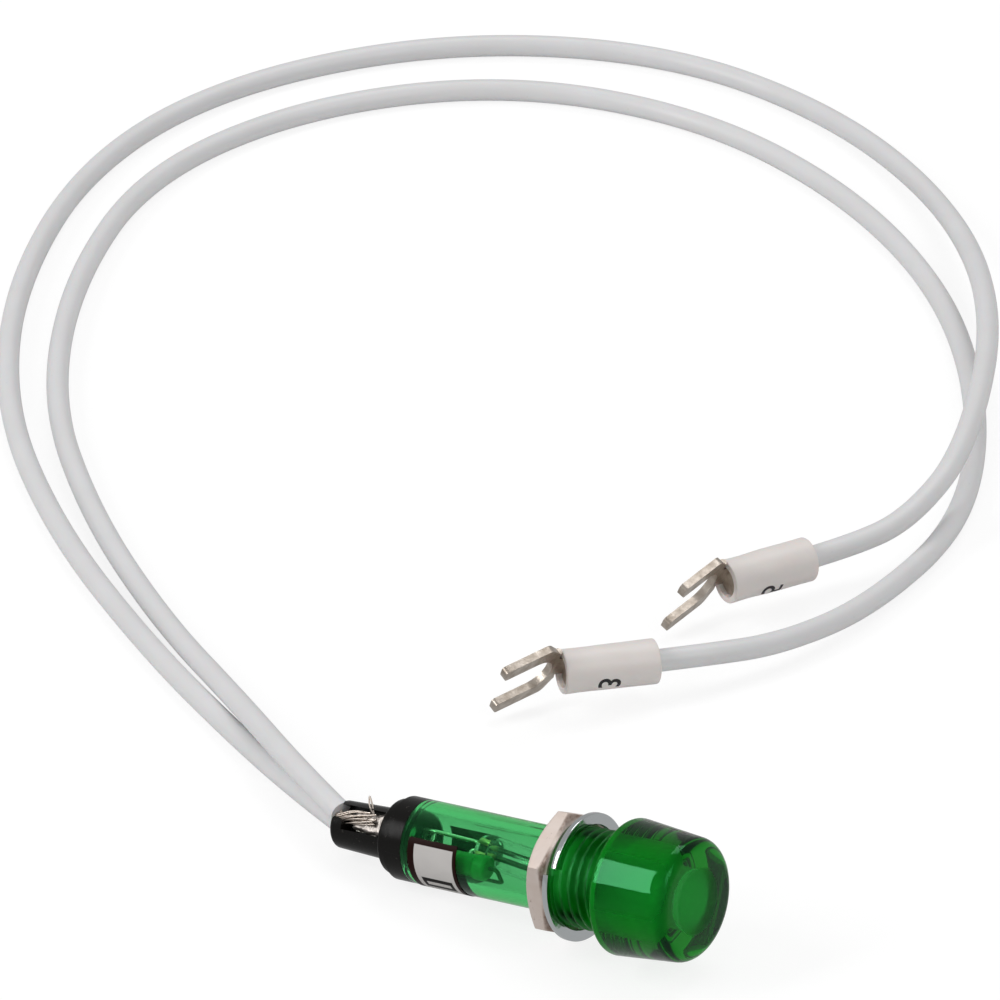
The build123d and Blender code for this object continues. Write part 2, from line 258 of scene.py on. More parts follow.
def stack(mesh, rings, loop=False, capped=False):
    """Faces between each ring and the next. A ring of one point closes the stack to a pole."""
    made = [[mesh.verts.new(point) for point in ring] for ring in rings]
    pairs = list(zip(made, made[1:]))
    if loop:
        pairs.append((made[-1], made[0]))
    for low, high in pairs:
        count = max(len(low), len(high))
        for index in range(count):
            here, there = index % len(low), (index + 1) % len(low)
            over, beyond = index % len(high), (index + 1) % len(high)
            corners = [low[here], low[there], high[beyond], high[over]]
            mesh.faces.new(list(dict.fromkeys(corners)))
    if capped:
        mesh.faces.new(list(reversed(made[0])))
        mesh.faces.new(made[-1])


def turned_rings(outline, count, radius_at=None):
    """Rings about X. radius_at(x, radius, angle) may change the radius round each ring."""
    pole = 1e-6
    rings = []
    for x, radius in outline:
        if radius < pole:
            rings.append([(x, 0, 0)])
            continue
        ring = []
        for index in range(count):
            angle = 2 * math.pi * index / count
            r = radius_at(x, radius, angle) if radius_at else radius
            ring.append((x, r * math.cos(angle), r * math.sin(angle)))
        rings.append(ring)
    return rings


# %% [markdown]
# A mesh becomes an object through one of two functions. The plain one keeps the faces as they
# are, for a strip or a hollow. The other turns all faces outward and keeps the sharp edges
# crisp. A curve with a round bevel gives wires and strands.

# %% From meshes and curves to objects
def add(name, data):
    """New object in the scene."""
    made = bpy.data.objects.new(name, data)
    bpy.context.scene.collection.objects.link(made)
    return made


def smooth_object(name, mesh, place):
    """Object from a bmesh, moved to its place, with smooth faces."""
    mesh.transform(place)
    data = bpy.data.meshes.new(name)
    mesh.to_mesh(data)
    mesh.free()
    data.shade_smooth()
    return add(name, data)


def crisp_object(name, mesh, place, sharp=35):
    """The same for a closed body, whose edges stay crisp above an angle in degrees."""
    bmesh.ops.recalc_face_normals(mesh, faces=mesh.faces)
    made = smooth_object(name, mesh, place)
    made.data.set_sharp_from_angle(angle=math.radians(sharp))
    return made


def turned(name, outline, place, count=96, radius_at=None, loop=False, sharp=35):
    """Turned body from its outline."""
    mesh = bmesh.new()
    stack(mesh, turned_rings(outline, count, radius_at), loop)
    return crisp_object(name, mesh, place, sharp)


def copied(solid):
    """A solid's mesh with the points of neighbouring faces joined."""
    same_point = 1e-7
    mesh = bmesh.new()
    mesh.from_mesh(solids[solid].data)
    bmesh.ops.remove_doubles(mesh, verts=mesh.verts, dist=same_point)
    return mesh


def softened(name, solid, edge_mm):
    """Copy of a solid whose edges are rounded, as tumbling or a mould leaves them."""
    mesh = copied(solid)
    flat = {"verts": mesh.verts, "edges": mesh.edges}
    bmesh.ops.dissolve_limit(mesh, angle_limit=math.radians(1), **flat)
    made = crisp_object(name, mesh, Matrix(), 30)
    bevel = made.modifiers.new("edges", "BEVEL")
    bevel.width = edge_mm * MM
    bevel.segments = 3
    bevel.limit_method = "ANGLE"
    bevel.angle_limit = math.radians(28)
    bevel.use_clamp_overlap = True
    bevel.harden_normals = True
    return made


def divide(mesh, longest, rounds, cuts):
    """Cut every edge above a length, so that the mesh can bend or turn lumpy."""
    for _ in range(rounds):
        long_edges = [edge for edge in mesh.edges if edge.calc_length() > longest]
        bmesh.ops.subdivide_edges(mesh, edges=long_edges, cuts=cuts)
        bmesh.ops.triangulate(mesh, faces=mesh.faces)


def round_curve(name, radius_mm, resolution):
    """Curve data that gives each of its splines a round section with closed ends."""
    curve = bpy.data.curves.new(name, "CURVE")
    curve.dimensions = "3D"
    curve.bevel_depth = radius_mm * MM
    curve.bevel_resolution = resolution
    curve.use_fill_caps = True
    return curve


def nurbs(curve, points):
    """Smooth spline with these control points. Its order is set after they are there."""
    spline = curve.splines.new("NURBS")
    spline.points.add(len(points) - 1)
    for place, point in zip(spline.points, points):
        place.co = (*point, 1)
    spline.order_u = 3
    spline.use_endpoint_u = True


# %% Finishes on pieces and on solids
def finish_with(data, finish):
    data.materials.clear()
    data.materials.append(finish.material)


def dress(piece, body, slot, finish, *replaced):
    """Put a finish on a piece, fix it to its body and hide the solids it stands for."""
    finish_with(piece.data, finish)
    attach(piece, body)
    if replaced:
        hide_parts(*replaced)
    print(piece.name, "on", body, "for", list(replaced))
    return piece


def paint(finish, *names):
    """Put a finish on solids that keep their own mesh."""
    for name in names:
        finish_with(solids[name].data, finish)


# %% [markdown]
# ## The camera
#
# The photograph was taken with a long lens from about 30 degrees above the table, so parallel
# edges hardly converge. A 540 mm lens at one and a half metres gives the same look.

# %% Camera
camera = add("camera", bpy.data.cameras.new("camera"))
camera.location = (0.711337, -1.019328, 0.752310)
look_at = Vector((-0.0482527, 0.0654786, 0))
camera.rotation_euler = (look_at - camera.location).to_track_quat("-Z", "Y").to_euler()
camera.data.lens = 540
camera.data.sensor_width = 36
camera.data.clip_end = 20
bpy.context.scene.camera = camera
print("camera distance", round((look_at - camera.location).length, 3))

# %% [markdown]
# ## The two wires
#
# Each wire is a length of stiff stranded lead that keeps the bend of its coil and lies on the
# table. A NURBS spline is the natural line for it: its control points are pulled about like
# the wire itself, and it stays smooth between them. The outer wire passes over the inner one
# in a long low hump before its terminal.

# %% White insulation
insulation = Recipe("white_insulation", ior=1.5)
insulation.set(subsurface_weight=0.12, subsurface_scale=0.0006)
cloud = insulation.noise(6)
speck = insulation.noise(0.5, detail=1) > 0.77
insulation.set(base_color=insulation.mix(
    (cloud * 0.6 + speck * 0.35).clipped(), (0.76, 0.76, 0.775), (0.66, 0.655, 0.645)))
insulation.set(roughness=insulation.noise(1.2) * 0.2 + 0.32)
insulation.bump(insulation.noise(0.35), 0.01, 0.5)

# %% Wires on their routes
wire_radius = 1.15
lying = wire_radius
tail_rear = -34.1
sleeve_length = 9.8
sleeve_exit_run = 5.0
barrel_set_back = 0.5
barrel_length = 4.6


def on_plug(x, y, z):
    """A point of the plug's frame, in the millimetres of the scene's frame."""
    return tuple(value / MM for value in plug @ Vector((x, y, z)))


OUTER_ROUTE = [
    on_plug(tail_rear - 1.0, 0.25, -1.6), (-28.2, 4.0, 1.7), (-40.5, 9.9, 1.2),
    (-58.5, 19.2, lying), (-80.0, 32.8, lying), (-99.5, 50.0, lying), (-114.5, 72.0, lying),
    (-124.0, 98.0, lying), (-122.3, 121.0, lying), (-109.0, 142.0, lying),
    (-88.0, 153.5, lying), (-65.0, 152.0, lying), (-42.5, 140.0, 2.2), (-22.0, 117.0, 6.6),
    (-9.0, 92.0, 6.6), (-7.6, 79.5, 4.6)]
INNER_ROUTE = [
    on_plug(tail_rear + 0.15, 0.85, 1.0), (-27.9, 2.4, 5.4), (-42.8, 13.1, 2.9),
    (-60.3, 24.0, 1.3), (-79.0, 37.4, lying), (-96.5, 54.0, lying), (-110.0, 76.0, lying),
    (-117.5, 99.5, lying), (-112.5, 121.5, lying), (-98.0, 138.0, lying),
    (-77.0, 143.5, lying), (-54.5, 138.3, lying), (-34.0, 125.8, lying),
    (-17.5, 107.5, lying), (-6.0, 87.0, lying), (-4.2, 67.5, 1.3), (-6.2, 54.5, 2.4)]

# Each sleeve is given by the middle of its back end, where the wire goes in, and a point ahead.
OUTER_SLEEVE = [Vector((-11.9, 67.27, 4.2)), Vector((-15.72, 58.19, 4.55))]
INNER_SLEEVE = [Vector((-13.1, 42.06, 4.0)), Vector((-19.08, 34.18, 4.5))]


def wire(name, route, sleeve, solid):
    """One wire along its route and on into the back of its terminal's barrel."""
    back, front = sleeve
    forward = (front - back).normalized()
    inside = sleeve_length - barrel_set_back - barrel_length
    points = [Vector(point) for point in route]
    points += [back - forward * sleeve_exit_run, back + forward * inside]
    curve = round_curve(name, wire_radius, 6)
    curve.resolution_u = 16
    nurbs(curve, [point * MM for point in points])
    made = add(name, curve)
    dress(made, "lamp", "white_insulation", insulation, solid)
    return made, points[0] * MM


outer_wire, outer_exit = wire("outer_wire", OUTER_ROUTE, OUTER_SLEEVE, "wire_outer")
inner_wire, inner_exit = wire("inner_wire", INNER_ROUTE, INNER_SLEEVE, "wire_inner")

# %% [markdown]
# ## Marker sleeves
#
# Each terminal has a short length of white tube pushed over its crimp, printed with a plain
# number. The tube is soft, so it is pinched a little where the crimp's dent lies under it, and
# it isn't quite round. The number is a text object turned into a mesh and bent round the tube.

# %% Sleeves
sleeve_radius = 2.25
sleeve_bore = 1.58
sleeve_rounding = 0.14
bore_rounding = 0.08
pinch_place = -0.24 * sleeve_length
pinch_width = 1.7
pinch_depth = 0.07
terminal_roll = math.radians(62)

sleeve_skin = Recipe("white_sleeve", ior=1.48)
sleeve_skin.set(subsurface_weight=0.15, subsurface_scale=0.0008)
sleeve_skin.set(base_color=sleeve_skin.mix(
    sleeve_skin.noise(3), (0.81, 0.76, 0.735), (0.75, 0.70, 0.67)))
sleeve_skin.set(roughness=sleeve_skin.noise(0.8) * 0.25 + 0.3)
sleeve_skin.bump(sleeve_skin.noise(1.6), 0.06, 0.6)


def sleeve_frame(sleeve):
    """Matrix of a terminal at its sleeve's mouth: X forward, Z out of the fork's flat side."""
    back, front = sleeve
    forward = (front - back).normalized()
    level = Vector((0, 0, 1)).cross(forward).normalized()
    face = forward.cross(level)
    across = level * math.cos(terminal_roll) + face * math.sin(terminal_roll)
    normal = forward.cross(across)
    origin = back + forward * sleeve_length
    turn = Matrix((forward, across, normal)).transposed().to_4x4()
    return Matrix.Scale(MM, 4) @ Matrix.Translation(origin) @ turn


def sleeve_shape(seed):
    """Radius of a soft tube that is pinched over the crimp and wavers a little."""
    def radius_at(x, radius, angle):
        pinch = math.exp(-((x - pinch_place) / pinch_width) ** 2)
        dent = pinch_depth * pinch * (0.7 + 0.3 * math.cos(2 * angle + seed))
        waver = 0.012 * math.cos(2 * angle + 1.1 * seed) + 0.006 * math.sin(x * 0.9 + seed)
        return radius * (1 - dent - waver * min(1, radius / sleeve_radius))
    return radius_at


def marker_sleeve(name, sleeve, seed, solid):
    """Tube with rounded rims. Its section is closed, so it begins and ends on one side."""
    section = [(0, sleeve_bore), (0, sleeve_radius), (-sleeve_length, sleeve_radius),
               (-sleeve_length, sleeve_bore), (0, sleeve_bore), (0, sleeve_radius)]
    radii = [0, sleeve_rounding, sleeve_rounding, bore_rounding, bore_rounding, 0]
    outline = finely(rounded(section, radii, 4)[1:-1], -sleeve_length + 0.2, -0.2, 0.3)
    made = turned(name, outline, sleeve_frame(sleeve), 72, sleeve_shape(seed), True, 50)
    return dress(made, "lamp", "white_sleeve", sleeve_skin, solid)


outer_seed, inner_seed = 2.0, 0.7
outer_tube = marker_sleeve("outer_sleeve", OUTER_SLEEVE, outer_seed, "marker_sleeve_outer")
inner_tube = marker_sleeve("inner_sleeve", INNER_SLEEVE, inner_seed, "marker_sleeve_inner")

# %% Printed numbers
digit_place = -4.3
digit_height = 2.3
digit_turn = math.radians(95)
capital_share = 0.7
bolder_by = 0.03
ink_lift = 0.012
ink_facet = 0.18

ink = Recipe("black_ink", base_color=(0.012, 0.012, 0.014))
ink.set(roughness=ink.noise(0.4) * 0.2 + 0.45)


def wrapped_digit(name, digit, sleeve, seed, angle):
    """Printed digit bent round its sleeve, with its middle at an angle in degrees."""
    text = bpy.data.curves.new(name, "FONT")
    text.body = digit
    text.size = digit_height / capital_share
    text.align_x = "CENTER"
    text.align_y = "CENTER"
    text.offset = bolder_by
    text.resolution_u = 5
    holder = bpy.data.objects.new(name + "_text", text)
    flat = bpy.data.meshes.new_from_object(holder)
    bpy.data.objects.remove(holder)
    mesh = bmesh.new()
    mesh.from_mesh(flat)
    bmesh.ops.triangulate(mesh, faces=mesh.faces)
    divide(mesh, ink_facet, 2, 2)
    shape = sleeve_shape(seed)
    turn = Matrix.Rotation(digit_turn, 2)
    for vertex in mesh.verts:
        flat_point = turn @ Vector(vertex.co.xy)
        x = digit_place + flat_point.x
        theta = math.radians(angle) + flat_point.y / sleeve_radius
        r = shape(x, sleeve_radius, theta) + ink_lift
        vertex.co = (x, r * math.cos(theta), r * math.sin(theta))
    made = crisp_object(name, mesh, sleeve_frame(sleeve))
    return dress(made, "lamp", "white_sleeve", ink)


number_a = wrapped_digit("outer_number", "5", OUTER_SLEEVE, outer_seed, -92)
number_b = wrapped_digit("inner_number", "3", INNER_SLEEVE, inner_seed, -80)

# %% [markdown]
# ## Fork terminals
#
# The forks are stamped from tinned strip, so their flat faces are smooth and bright while the
# sheared edges are rough and darker. The solid already has the right shape, so a copy with
# softened edges is enough, and the roughness comes from the material.

# %% Tinned forks
tin = Recipe("terminal_tin", metallic=1.0)
grain = tin.noise(0.9, detail=5)
tin.set(base_color=tin.mix(grain.span(0.35, 0.7), (0.62, 0.555, 0.49), (0.42, 0.36, 0.30)))
tin.set(roughness=grain * 0.3 + 0.22)
tin.bump(tin.noise(0.25, detail=4), 0.03, 0.7)
fork_softening = 0.09
for side in ("outer", "inner"):
    fork = softened(side + "_fork", "fork_terminal_" + side, fork_softening)
    dress(fork, "lamp", "terminal_tin", tin, "fork_terminal_" + side)
paint(tin, "crimped_end_outer", "crimped_end_inner")

# %% [markdown]
# ## The green moulding
#
# Head, thread and tube are one piece of clear green plastic. Its colour is mostly in the depth of
# the plastic and not on its skin: the thin tube is pale and the thick head is deep. So the skin is
# clear, and a volume inside absorbs red and blue, except on the thread, whose skin is tinted dark
# green as painted shade. The thread is cut into the rings themselves: the radius of a ring point
# depends on how far round and how far along it lies.

# %% Green plastic
green = Recipe("green_plastic", ior=1.49)
green.set(transmission_weight=1.0, specular_tint=(0.15, 0.8, 0.35))
along_axis, from_axis = green.on_lamp()
in_bore = (1 - from_axis.span(3.1, 3.6)) * along_axis.span(-9.5, -8.0)
behind_head = 1 - along_axis.span(-0.5, 0.0)
on_thread = from_axis.span(3.6, 4.2) * along_axis.span(-8.6, -8.2) * behind_head
green.set(roughness=in_bore * 0.45 + on_thread * 0.26 + 0.02)
# The thread's skin is tinted dark green: painted shade for the light its flanks turn away.
green.set(base_color=green.mix(on_thread, (0.79, 0.79, 0.78), (0.34, 0.52, 0.27)))
green.bump(green.noise(2.2, detail=2, stretch=(0.25, 1, 1)), 0.02, 0.25)
depth = green.node("ShaderNodeVolumeAbsorption", None,
                   {"Color": (0.0, 0.82, 0.32, 1), "Density": 850.0})
green.feed(green.output.inputs["Volume"], depth)

# %% Moulding with its thread
head_length = 8.14
head_front_radius = 6.06
head_rear_radius = 6.78
thread_radius = 5.0
thread_length = 8.3
thread_chamfer = 0.5
thread_pitch = 1.0
thread_depth = 0.6
thread_front = -0.05
run_out_length = 0.4
groove_share = 0.12
flank_share = 0.70
flank_softness = 0.3
tube_radius = 4.15
tube_rear = -24.2
bore_radius = 3.0
bore_front = 6.39


def held(value):
    return min(1, max(0, value))


def threaded(x, radius, angle):
    """Radius with the groove of a right-hand thread between the head and the tube."""
    if not -thread_length <= x <= thread_front:
        return radius
    phase = (x / thread_pitch - angle / (2 * math.pi)) % 1.0
    from_groove = abs(2 * phase - 1)
    flank = held((from_groove - groove_share) / flank_share)
    soft = flank * flank * (3 - 2 * flank)
    flank = (1 - flank_softness) * flank + flank_softness * soft
    run_out = held((thread_front - x) / run_out_length)
    return min(radius, thread_radius - thread_depth * (1 - flank) * run_out)


# Each row is a corner of the outline, from the head's face round to the end of the bore, with
# its place along the lamp, its distance from the axis and the rounding of its edge.
MOULDING = [
    (head_length, 0, 0),
    (head_length, head_front_radius, 1.24),
    (0, head_rear_radius, 0.35),
    (0, thread_radius, 0),
    (-thread_length + thread_chamfer, thread_radius, 0),
    (-thread_length, tube_radius, 0.12),
    (tube_rear, tube_radius, 0.1),
    (tube_rear, bore_radius, 0.05),
    (bore_front, bore_radius, 0.2),
    (bore_front, 0, 0)]
outline = rounded([row[:2] for row in MOULDING], [row[2] for row in MOULDING], 8)
outline = finely(outline, -thread_length - 0.1, 0.0, thread_pitch / 18)
outline = finely(outline, tube_rear - 0.1, head_length + 0.06, 1.0)
moulding = turned("green_moulding", outline, lamp, 160, threaded, sharp=38)
dress(moulding, "lamp", "green_plastic", green, "lens_body")

# %% [markdown]
# ## Nut and split washer
#
# The nut is thin and chamfered on both faces. Where the chamfer's cone cuts the six flats it
# leaves the curved lines every nut has, and they come out by themselves if each ring takes the
# smaller of the hexagon and the cone. Its plating is dull and warm, with dirt at the corners.
# The front chamfer is painted dark brown: partly rust stains, partly painted shade.

# %% Nickel
nickel = Recipe("nickel_plate", metallic=1.0)
blotch = nickel.noise(2.5, detail=4)
dirt = nickel.noise(0.7, detail=5, roughness=0.7).span(0.62, 0.72)
nickel_grey = nickel.mix(blotch.span(0.3, 0.7), (0.90, 0.80, 0.745), (0.80, 0.69, 0.62))
nut_along, nut_from_axis = nickel.on_lamp()
on_chamfer = nut_from_axis.span(5.75, 5.95) * nut_along.span(-6.35, -6.15)
# Rust stains and painted shade on the front chamfer, in one dark brown mask.
rust_and_shade = on_chamfer * (nickel.noise(0.8, detail=5, roughness=0.7).span(0.3, 0.6) * 0.6 + 0.4)
nickel_grey = nickel.mix((dirt * 0.5).clipped(), nickel_grey, (0.16, 0.09, 0.05))
nickel.set(base_color=nickel.mix((rust_and_shade * 0.8).clipped(), nickel_grey, (0.20, 0.11, 0.07)))
nickel.set(roughness=(blotch * 0.2 + 0.42 + dirt * 0.2).clipped())
nickel.bump(nickel.noise(0.3, detail=4), 0.02, 0.6)

# %% Nut
nut_rear = -8.0
nut_front = -5.8
nut_across_flats = 11.55
nut_bore = 5.05
nut_bore_mouth = 5.3
nut_bore_chamfer = 0.25
nut_rim_radius = nut_across_flats / 2 - 0.1
nut_chamfer_slope = math.tan(math.radians(30))
nut_edge_softness = 0.06
blank_radius = 6


def hexagon(angle):
    """Distance to the side of the nut. The middle of a flat is at 0 degrees and every 60 on."""
    from_flat = (angle + math.pi / 6) % (math.pi / 3) - math.pi / 6
    return nut_across_flats / 2 / math.cos(from_flat)


def nut_radius(x, radius, angle):
    """The bore keeps its radius. The blank is cut to the hexagon and to the chamfers' cone."""
    if radius < blank_radius:
        return radius
    from_face = min(x - nut_rear, nut_front - x)
    cone = nut_rim_radius + from_face / nut_chamfer_slope
    side = hexagon(angle)
    worn = math.exp(-abs(cone - side) / nut_edge_softness) * nut_edge_softness / 2
    return min(cone, side) - worn


from_faces = [0, 0.04, 0.1, 0.18, 0.26, 0.34, 0.42, 0.5, 0.6]
nut_profile = [(nut_rear, nut_bore_mouth)]
nut_profile += [(nut_rear + x, blank_radius) for x in from_faces]
nut_profile += [(nut_front - x, blank_radius) for x in reversed(from_faces)]
nut_profile += [(nut_front, nut_bore_mouth), (nut_front - nut_bore_chamfer, nut_bore),
                (nut_rear + nut_bore_chamfer, nut_bore)]
nut = turned("hex_nut_body", nut_profile, lamp, 180, nut_radius, loop=True, sharp=24)
dress(nut, "nut", "nickel_plate", nickel, "hex_nut")

# %% [markdown]
# The washer is one turn of flat spring steel whose ends stand apart by less than a millimetre.
# It is plated brighter than the nut. A rounded section is carried along a short helix.

# %% Split washer
bright = Recipe("bright_plate", base_color=(0.62, 0.65, 0.66), metallic=1.0)
bright.set(roughness=bright.noise(1.5, detail=4) * 0.12 + 0.06)
bright.bump(bright.noise(2.2, detail=2), 0.15, 0.6)

washer_gap = 0.05
washer_clearance = 0.2
washer_width = 1.15
washer_thickness = 0.6
washer_rounding = 0.1
washer_pitch = 0.75
washer_steps = 120
split_place = 150
split_angle = 7
washer_middle = thread_radius + washer_clearance + washer_width / 2
washer_centre = nut_front + washer_gap + washer_thickness / 2

deep, wide = washer_thickness / 2, washer_width / 2
corners = [(0, -wide), (deep, -wide), (deep, wide), (-deep, wide), (-deep, -wide), (0, -wide)]
section = rounded(corners, [0] + [washer_rounding] * 4 + [0], 4)[:-1]
rings = []
for step in range(washer_steps + 1):
    turn = (360 - split_angle) * step / washer_steps
    angle = math.radians(split_place + split_angle / 2 + turn)
    ahead = washer_centre + washer_pitch * turn / 360
    rings.append([(ahead + x, (washer_middle + r) * math.cos(angle),
                   (washer_middle + r) * math.sin(angle)) for x, r in section])
mesh = bmesh.new()
stack(mesh, rings, capped=True)
washer = crisp_object("split_washer", mesh, lamp, 40)
dress(washer, "washer", "bright_plate", bright, "lock_washer")

# %% [markdown]
# ## Black plug
#
# A glossy black moulding closes the tube and carries the two solder lugs in open channels. Its
# solid has the right form. The copy rounds the edges, and the surface gets faint dust.

# %% Plug
black = Recipe("black_plastic", specular_ior_level=0.15)
dust = black.noise(0.35, detail=2) > 0.70
black.set(base_color=black.mix(dust * 0.25, (0.006, 0.0055, 0.005), (0.08, 0.075, 0.065)))
black.set(roughness=(black.noise(1.8, detail=4) * 0.22 + 0.10 + dust * 0.2).clipped())
black.bump(black.noise(0.8, detail=3), 0.02, 0.5)
plug_softening = 0.12
plug_body = softened("black_plug", "rear_plug", plug_softening)
dress(plug_body, "lamp", "black_plastic", black, "rear_plug")

# %% [markdown]
# ## Lugs, solder and bare strands
#
# Hand soldering is rough: the solder stands up in lumps, and the strands of the wire fan out
# over the plug's edge before they dive into it. The lumps are the solid's own mesh, divided
# and pushed about by noise. The strands are twisted about one line.

# %% Lugs and solder
lug_tin = Recipe("tinned_metal", metallic=1.0)
lug_tin.set(base_color=lug_tin.mix(
    lug_tin.noise(0.8, 4), (0.60, 0.58, 0.54), (0.42, 0.39, 0.34)))
lug_tin.set(roughness=lug_tin.noise(0.5) * 0.3 + 0.2)
paint(lug_tin, "solder_lug_upper", "solder_lug_lower")

solder_skin = Recipe("solder", metallic=1.0)
solder_skin.set(base_color=solder_skin.mix(
    solder_skin.noise(0.4, 4), (0.74, 0.69, 0.65), (0.40, 0.36, 0.33)))
solder_skin.set(roughness=solder_skin.noise(0.3) * 0.3 + 0.35)
solder_skin.bump(solder_skin.noise(0.22, detail=4), 0.05, 0.8)
solder_facet = 0.16
solder_swell = 0.12


def rough_solder(name, solid, seed):
    """Copy of a solder solid, swollen a little and lumpy at two scales."""
    mesh = copied(solid)
    divide(mesh, solder_facet * MM, 4, 1)
    mesh.normal_update()
    shift = Vector((seed, seed, seed))
    for vertex in mesh.verts:
        point = vertex.co / MM
        lump = noise.noise(point * 1.3 + shift) * 0.16 + noise.noise(point * 3.5 + shift) * 0.09
        vertex.co += vertex.normal * (lump + solder_swell) * MM
    print(name, "has", len(mesh.verts), "points")
    return crisp_object(name, mesh, Matrix(), 60)


for side, seed in (("upper", 3.1), ("lower", 8.4)):
    lumps = rough_solder("rough_solder_" + side, "solder_" + side, seed)
    dress(lumps, "lamp", "solder", solder_skin, "solder_" + side)

# %% Bare strands
strands_metal = Recipe("copper_strands", metallic=1.0)
strands_metal.set(base_color=strands_metal.mix(
    strands_metal.noise(0.5, 3), (0.78, 0.72, 0.67), (0.46, 0.38, 0.31)))
strands_metal.set(roughness=strands_metal.noise(0.3) * 0.2 + 0.3)
strand_count = 15
strand_radius = 0.085
strand_steps = 28
bundle_radius = 0.36
strand_layers = (0.45, 0.8, 1.0)


def along(points, share):
    """Point and direction on a smooth line through all the points."""
    spans = len(points) - 1
    place = min(share * spans, spans - 1e-6)
    index, t = int(place), place - int(place)
    p = [points[max(0, min(spans, index + offset))] for offset in (-1, 0, 1, 2)]
    a = 2 * p[1]
    b = p[2] - p[0]
    c = 2 * p[0] - 5 * p[1] + 4 * p[2] - p[3]
    d = 3 * p[1] - p[0] - 3 * p[2] + p[3]
    return 0.5 * (a + b * t + c * t * t + d * t ** 3), (0.5 * (b + 2 * c * t + 3 * d * t * t))


def twisted_strands(name, line, turns, fan, seed, stray=()):
    """Fine strands twisted about a line, which fan out flat towards its end."""
    chance = random.Random(seed)
    points = [Vector(point) for point in line]
    curve = round_curve(name, strand_radius, 3)
    for strand in range(strand_count):
        spline = curve.splines.new("POLY")
        spline.points.add(strand_steps)
        start_angle = 2 * math.pi * strand / strand_count
        reach = strand_layers[strand % len(strand_layers)] * bundle_radius
        drift = chance.uniform(-1, 1)
        last = 1 - chance.uniform(0, 0.12)
        for step in range(strand_steps + 1):
            share = last * step / strand_steps
            centre, direction = along(points, share)
            side = direction.cross(Vector((0, 0, 1))).normalized()
            up = side.cross(direction).normalized()
            angle = start_angle + turns * 2 * math.pi * share + 0.3 * drift
            open_up = 1 + fan * share * share * (1 + 0.5 * drift)
            offset = side * math.cos(angle) * reach * open_up + up * math.sin(angle) * reach
            spline.points[step].co = (*(plug @ (centre + offset)), 1)
    for loop in stray:
        nurbs(curve, [plug @ Vector(point) for point in loop])
    return add(name, curve)


lug_rear = tail_rear + 1.9
lug_top = 0.7
bundle_rise = 0.42
over_lug = lug_top + bundle_rise
UPPER_STRANDS = [
    (tail_rear + 0.05, 0.9, 1.0), (tail_rear + 0.1, 0.4, 1.2), (tail_rear + 0.9, 0.35, 1.3),
    (lug_rear + 0.35, 0.5, over_lug + 0.35), (lug_rear + 3.0, 0.65, over_lug + 0.36)]
LOWER_STRANDS = [
    (tail_rear - 0.95, 0.23, -1.59), (tail_rear - 0.5, 0.05, -1.5), (tail_rear, -0.6, -1.35),
    (lug_rear + 0.5, -0.6, -over_lug - 0.05), (lug_rear + 3.2, -0.3, -over_lug)]
STRAY_LOOP = [
    (-29.8, 1.2, 1.45), (-30.05, 1.9, 1.7), (-30.35, 2.5, 1.95), (-30.75, 3.0, 1.95),
    (-30.5, 2.1, 1.9), (-30.05, 1.5, 1.7), (-29.8, 1.2, 1.45)]
upper_strands = twisted_strands("strands_upper", UPPER_STRANDS, 0.5, 1.7, 5, [STRAY_LOOP])
dress(upper_strands, "lamp", "copper_strands", strands_metal, "bare_end_inner")
lower_strands = twisted_strands("strands_lower", LOWER_STRANDS, 0.9, 0.6, 9)
dress(lower_strands, "lamp", "copper_strands", strands_metal, "bare_end_outer")

# %% [markdown]
# ## Inside the tube
#
# The neon bulb is a little glass capsule with two rods in it. Its outer and inner skins are two
# turned surfaces of one mesh, so light bends at both. The leads and the rods keep the solid
# model's mesh, because they are plain bent wires already. Each rod is a bright lead outside
# the glass, golden where the glass seals round it, and dark in the gas.

# %% Bulb
glass = Recipe("bulb_glass", base_color=(1.0, 1.0, 1.0), roughness=0.0, ior=1.5)
glass.set(transmission_weight=1.0)
glass.bump(glass.noise(1.5, detail=1), 0.01, 0.2)
bulb_rear = Vector((-18.0, 0.75, -0.8))
bulb_tilt = math.radians(-6)
bulb_radius = 1.7
bulb_back, bulb_tip = -0.15, 10
hollow_radius = 1.42
hollow_back, hollow_tip = 1.6, 9.7
bulb_at = plug @ Matrix.Translation(bulb_rear) @ Matrix.Rotation(bulb_tilt, 4, "Z")
skin = rounded([(bulb_back, 0), (bulb_back, bulb_radius), (bulb_tip, bulb_radius),
                (bulb_tip, 0)], [0, 1.5, 1.3, 0], 12)
hollow = rounded([(hollow_tip, 0), (hollow_tip, hollow_radius), (hollow_back, hollow_radius),
                  (hollow_back, 0)], [0, 1.0, 0.6, 0], 12)
mesh = bmesh.new()
stack(mesh, turned_rings(skin, 64))
skin_faces = list(mesh.faces)
stack(mesh, turned_rings(hollow, 64))
hollow_faces = list(set(mesh.faces) - set(skin_faces))
bmesh.ops.recalc_face_normals(mesh, faces=skin_faces)
bmesh.ops.recalc_face_normals(mesh, faces=hollow_faces)
bmesh.ops.reverse_faces(mesh, faces=hollow_faces)
bulb = smooth_object("bulb", mesh, bulb_at)
dress(bulb, "lamp", "bulb_glass", glass, "bulb_glass")

# %% Electrodes and leads
rods = Recipe("electrode_metal", metallic=1.0)
rod_along = rods.on_lamp()[0]
in_gas = rod_along.span(-16.2, -15.6)
in_seal = rod_along.span(-17.9, -17.5)
dark_rod = rods.mix(rods.noise(0.6, 3), (0.12, 0.11, 0.10), (0.06, 0.055, 0.05))
lead_end = rods.mix(in_seal, (0.95, 0.93, 0.82), (0.90, 0.70, 0.36))
rods.set(base_color=rods.mix(in_gas, lead_end, dark_rod))
rods.set(roughness=rods.noise(0.4) * 0.2 + 0.2 + in_gas * 0.15)
paint(rods, "electrode_upper", "electrode_lower")

